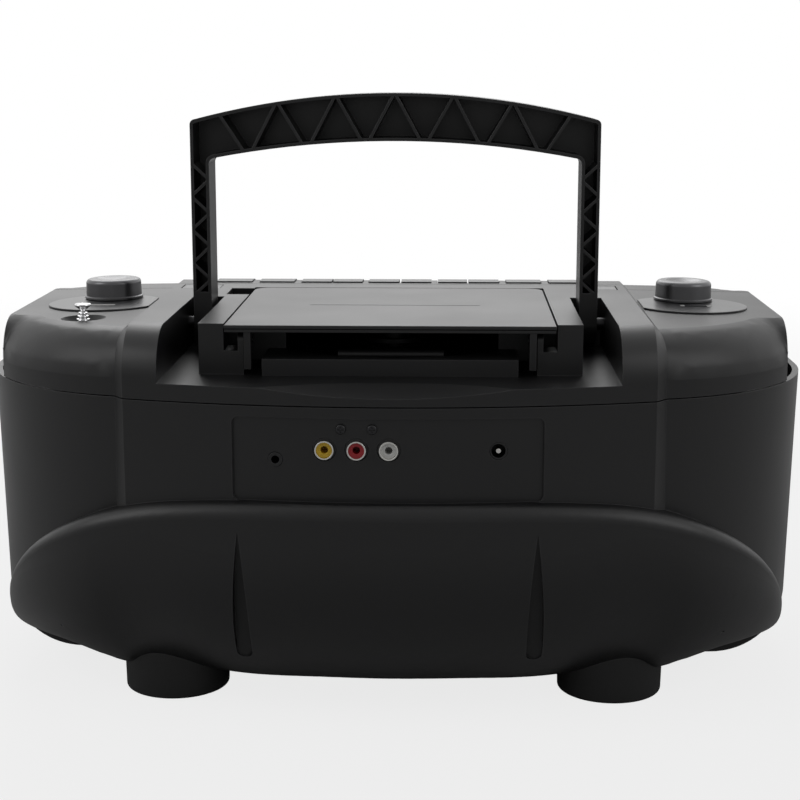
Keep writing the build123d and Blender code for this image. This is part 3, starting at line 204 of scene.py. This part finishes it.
BLACK = (0.005, 0.005, 0.0055)
materials = {
    "case_black": plastic("case_black", BLACK, 0.4),
    "front_black": plastic("front_black", BLACK, 0.4),
    # The handle's rib edges get a stronger painted highlight
    "handle_black": plastic("handle_black", (0.007, 0.007, 0.0075), 0.34, edge_highlight=0.5),
    "lid_black": plastic("lid_black", (0.009, 0.009, 0.0095), 0.4),
    "inner_black": plastic("inner_black", (0.004, 0.004, 0.0045), 0.5),
    "grille_metal": plastic("grille_metal", (0.03, 0.03, 0.033), 0.35),
    "ring_silver": metal("ring_silver", (0.52, 0.53, 0.55), 0.3),
    "driver_steel": metal("driver_steel", (0.45, 0.45, 0.45), 0.4),
    "cone_black": plastic("cone_black", (0.015, 0.015, 0.016), 0.6),
    "window": plastic("window", (0.006, 0.007, 0.009), 0.08, 0.0),
    "module_grey": plastic("module_grey", (0.1, 0.1, 0.1), 0.5),
    "key_grey": plastic("key_grey", (0.03, 0.031, 0.033), 0.32),
    "knob_gunmetal": metal("knob_gunmetal", (0.16, 0.16, 0.165), 0.32),
    "plate_grey": plastic("plate_grey", (0.02, 0.02, 0.022), 0.3),
    "shaft_metal": metal("shaft_metal", (0.7, 0.7, 0.72), 0.3),
    "antenna_chrome": metal("antenna_chrome", (0.85, 0.85, 0.86), 0.12),
    "damper_rubber": plastic("damper_rubber", (0.02, 0.02, 0.02), 0.8),
    "motor_metal": metal("motor_metal", (0.6, 0.6, 0.61), 0.35),
    "sled_grey": plastic("sled_grey", (0.15, 0.15, 0.15), 0.5),
    "gear_white": plastic("gear_white", (0.7, 0.7, 0.68), 0.45, edge_highlight_colour=(0.8, 0.8, 0.8)),
    "lens_glass": plastic("lens_glass", (0.1, 0.1, 0.25), 0.05, 0.0),
    "board_green": plastic("board_green", (0.01, 0.09, 0.03), 0.3),
    "component_black": plastic("component_black", (0.02, 0.02, 0.02), 0.5),
    "contact_metal": metal("contact_metal", (0.8, 0.79, 0.76), 0.2),
    "insert_yellow": plastic("insert_yellow", (0.7, 0.45, 0.02), 0.35, edge_highlight_colour=(0.8, 0.6, 0.1)),
    "insert_red": plastic("insert_red", (0.42, 0.012, 0.02), 0.35, edge_highlight_colour=(0.5, 0.05, 0.05)),
    "insert_white": plastic("insert_white", (0.72, 0.72, 0.7), 0.35, edge_highlight_colour=(0.8, 0.8, 0.8)),
    "screw_black": metal("screw_black", (0.05, 0.05, 0.052), 0.35),
    "foot_black": plastic("foot_black", (0.005, 0.005, 0.005), 0.55),
    "door_black": plastic("door_black", BLACK, 0.42),
}


def dress_nodes():
    """Give every CAD node the material of its slot."""
    slots = {entry["node"]: entry["material_slot"] for entry in frame["record"]["subparts"]}
    for node, obj in frame["nodes"].items():
        obj.data.materials.clear()
        obj.data.materials.append(materials[slots[node]])


def bar(name, centre, size, slot, body, lean=0.0):
    """A thin plain bar that lies on a surface."""
    bpy.ops.mesh.primitive_cube_add(size=1, location=centre, rotation=(0, lean, 0))
    piece = bpy.context.object
    piece.name = name
    piece.scale = size
    bpy.ops.object.transform_apply(location=False, rotation=False, scale=True)
    piece.data.materials.append(materials[slot])
    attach(piece, body)


def top_height(x):
    """Height of the case's top at a distance from the middle."""
    bend_end = TOP_FLAT_HALF + TOP_BEND_RADIUS * sin(TOP_SLOPE)
    drop = TOP_BEND_RADIUS * (1 - cos(TOP_SLOPE))
    return SIDE_TOP - drop - (abs(x) - bend_end) * tan(TOP_SLOPE)


def markers():
    """The marks on the knob plates, drawn with painted highlights, painted glints and painted shade,
    and the plain line on the lid.
    """
    inner, outer = TUNING_GLINT_XS
    # The volume pointer is a real raised bar; its white is a painted highlight
    marks = (("volume_mark", VOLUME_MARK_X, VOLUME_MARK_Y, VOLUME_MARK_LONG, "insert_white"),
             # Painted shade: a dark glossy bar stands for the shade inside the recessed tuning slot
             ("tuning_mark", TUNING_MARK_X, TUNING_MARK_Y, TUNING_MARK_LONG, "window"),
             # Painted glints at the two ends of the tuning slot
             ("tuning_glint_inner", inner, TUNING_MARK_Y, TUNING_GLINT_LONG, "insert_white"),
             ("tuning_glint_outer", outer, TUNING_MARK_Y, TUNING_GLINT_LONG, "insert_white"))
    for name, x, y, length, slot in marks:
        height = top_height(x) + PLATE_THICK + 0.0001
        lean = TOP_SLOPE if x > 0 else -TOP_SLOPE
        bar(name, (x, y, height), (length, MARK_WIDE, BAR_THICK), slot, "case", lean)
    line_size = (LID_LINE_LONG, LID_LINE_WIDE, BAR_THICK)
    bar("lid_line", (0, LID_LINE_Y, LID_TOP - 0.00005), line_size, "key_grey", "lid")


def floor():
    """A plain pale floor: nearly white to the camera, with the object's shadow kept faintly."""
    bpy.ops.mesh.primitive_plane_add(size=40, location=(0, 0, 0))
    plane = bpy.context.object
    plane.name = "floor"
    material = bpy.data.materials.new("floor_white")
    material.use_nodes = True
    tree = material.node_tree
    shader = tree.nodes["Principled BSDF"]
    shader.inputs["Base Color"].default_value = (0.8, 0.8, 0.8, 1)
    shader.inputs["Roughness"].default_value = 0.9
    glow = tree.nodes.new("ShaderNodeEmission")
    glow.inputs["Color"].default_value = (1, 1, 1, 1)
    glow.inputs["Strength"].default_value = 1.0
    far = tree.nodes.new("ShaderNodeVectorMath")
    far.operation = "LENGTH"
    tree.links.new(tree.nodes.new("ShaderNodeTexCoord").outputs["Object"], far.inputs[0])
    share = tree.nodes.new("ShaderNodeMapRange")
    set_range(share, FLOOR_NEAR, FLOOR_FAR, FLOOR_WHITE_NEAR, 1.0)
    tree.links.new(far.outputs["Value"], share.inputs["Value"])
    seen = tree.nodes.new("ShaderNodeMath")
    seen.operation = "MULTIPLY"
    tree.links.new(tree.nodes.new("ShaderNodeLightPath").outputs["Is Camera Ray"], seen.inputs[0])
    tree.links.new(share.outputs["Result"], seen.inputs[1])
    mix = tree.nodes.new("ShaderNodeMixShader")
    tree.links.new(seen.outputs["Value"], mix.inputs["Fac"])
    tree.links.new(shader.outputs["BSDF"], mix.inputs[1])
    tree.links.new(glow.outputs["Emission"], mix.inputs[2])
    tree.links.new(mix.outputs["Shader"], tree.nodes["Material Output"].inputs["Surface"])
    plane.data.materials.append(material)


def world():
    """White to the camera and through glass, white in reflections but weaker on the camera's side."""
    sky = bpy.data.worlds.new("studio")
    bpy.context.scene.world = sky
    sky.use_nodes = True
    tree = sky.node_tree
    tree.nodes.clear()
    output = tree.nodes.new("ShaderNodeOutputWorld")
    white = tree.nodes.new("ShaderNodeBackground")
    white.inputs["Color"].default_value = (1, 1, 1, 1)
    white.inputs["Strength"].default_value = 1.0
    light = tree.nodes.new("ShaderNodeBackground")
    light.inputs["Color"].default_value = (1, 1, 1, 1)
    light.inputs["Strength"].default_value = AMBIENT
    path = tree.nodes.new("ShaderNodeLightPath")
    parts = tree.nodes.new("ShaderNodeSeparateXYZ")
    tree.links.new(tree.nodes.new("ShaderNodeTexCoord").outputs["Generated"], parts.inputs["Vector"])
    side = tree.nodes.new("ShaderNodeMapRange")
    set_range(side, -0.6, 0.6, 1.0, CAMERA_SIDE_GLOSS)
    tree.links.new(parts.outputs["Y"], side.inputs["Value"])
    glossy = tree.nodes.new("ShaderNodeMath")
    glossy.operation = "MULTIPLY"
    tree.links.new(path.outputs["Is Glossy Ray"], glossy.inputs[0])
    tree.links.new(side.outputs["Result"], glossy.inputs[1])
    share = glossy.outputs["Value"]
    for ray in ("Is Camera Ray", "Is Transmission Ray"):
        larger = tree.nodes.new("ShaderNodeMath")
        larger.operation = "MAXIMUM"
        tree.links.new(share, larger.inputs[0])
        tree.links.new(path.outputs[ray], larger.inputs[1])
        share = larger.outputs["Value"]
    mix = tree.nodes.new("ShaderNodeMixShader")
    tree.links.new(share, mix.inputs["Fac"])
    tree.links.new(light.outputs["Background"], mix.inputs[1])
    tree.links.new(white.outputs["Background"], mix.inputs[2])
    tree.links.new(mix.outputs["Shader"], output.inputs["Surface"])


def lamp(name, place, aim, size, watts):
    """A square soft light that points at a spot."""
    data = bpy.data.lights.new(name, "AREA")
    data.shape = "SQUARE"
    data.size = size
    data.energy = watts
    obj = bpy.data.objects.new(name, data)
    bpy.context.scene.collection.objects.link(obj)
    obj.location = place
    obj.rotation_euler = (Vector(aim) - Vector(place)).to_track_quat("-Z", "Y").to_euler()


camera()
dress_nodes()
markers()
floor()
world()
lamp("left_light", *LEFT_LAMP)
lamp("right_light", *RIGHT_LAMP)
lamp("back_light", *BACK_LAMP)
bpy.context.scene.view_settings.view_transform = "Standard"
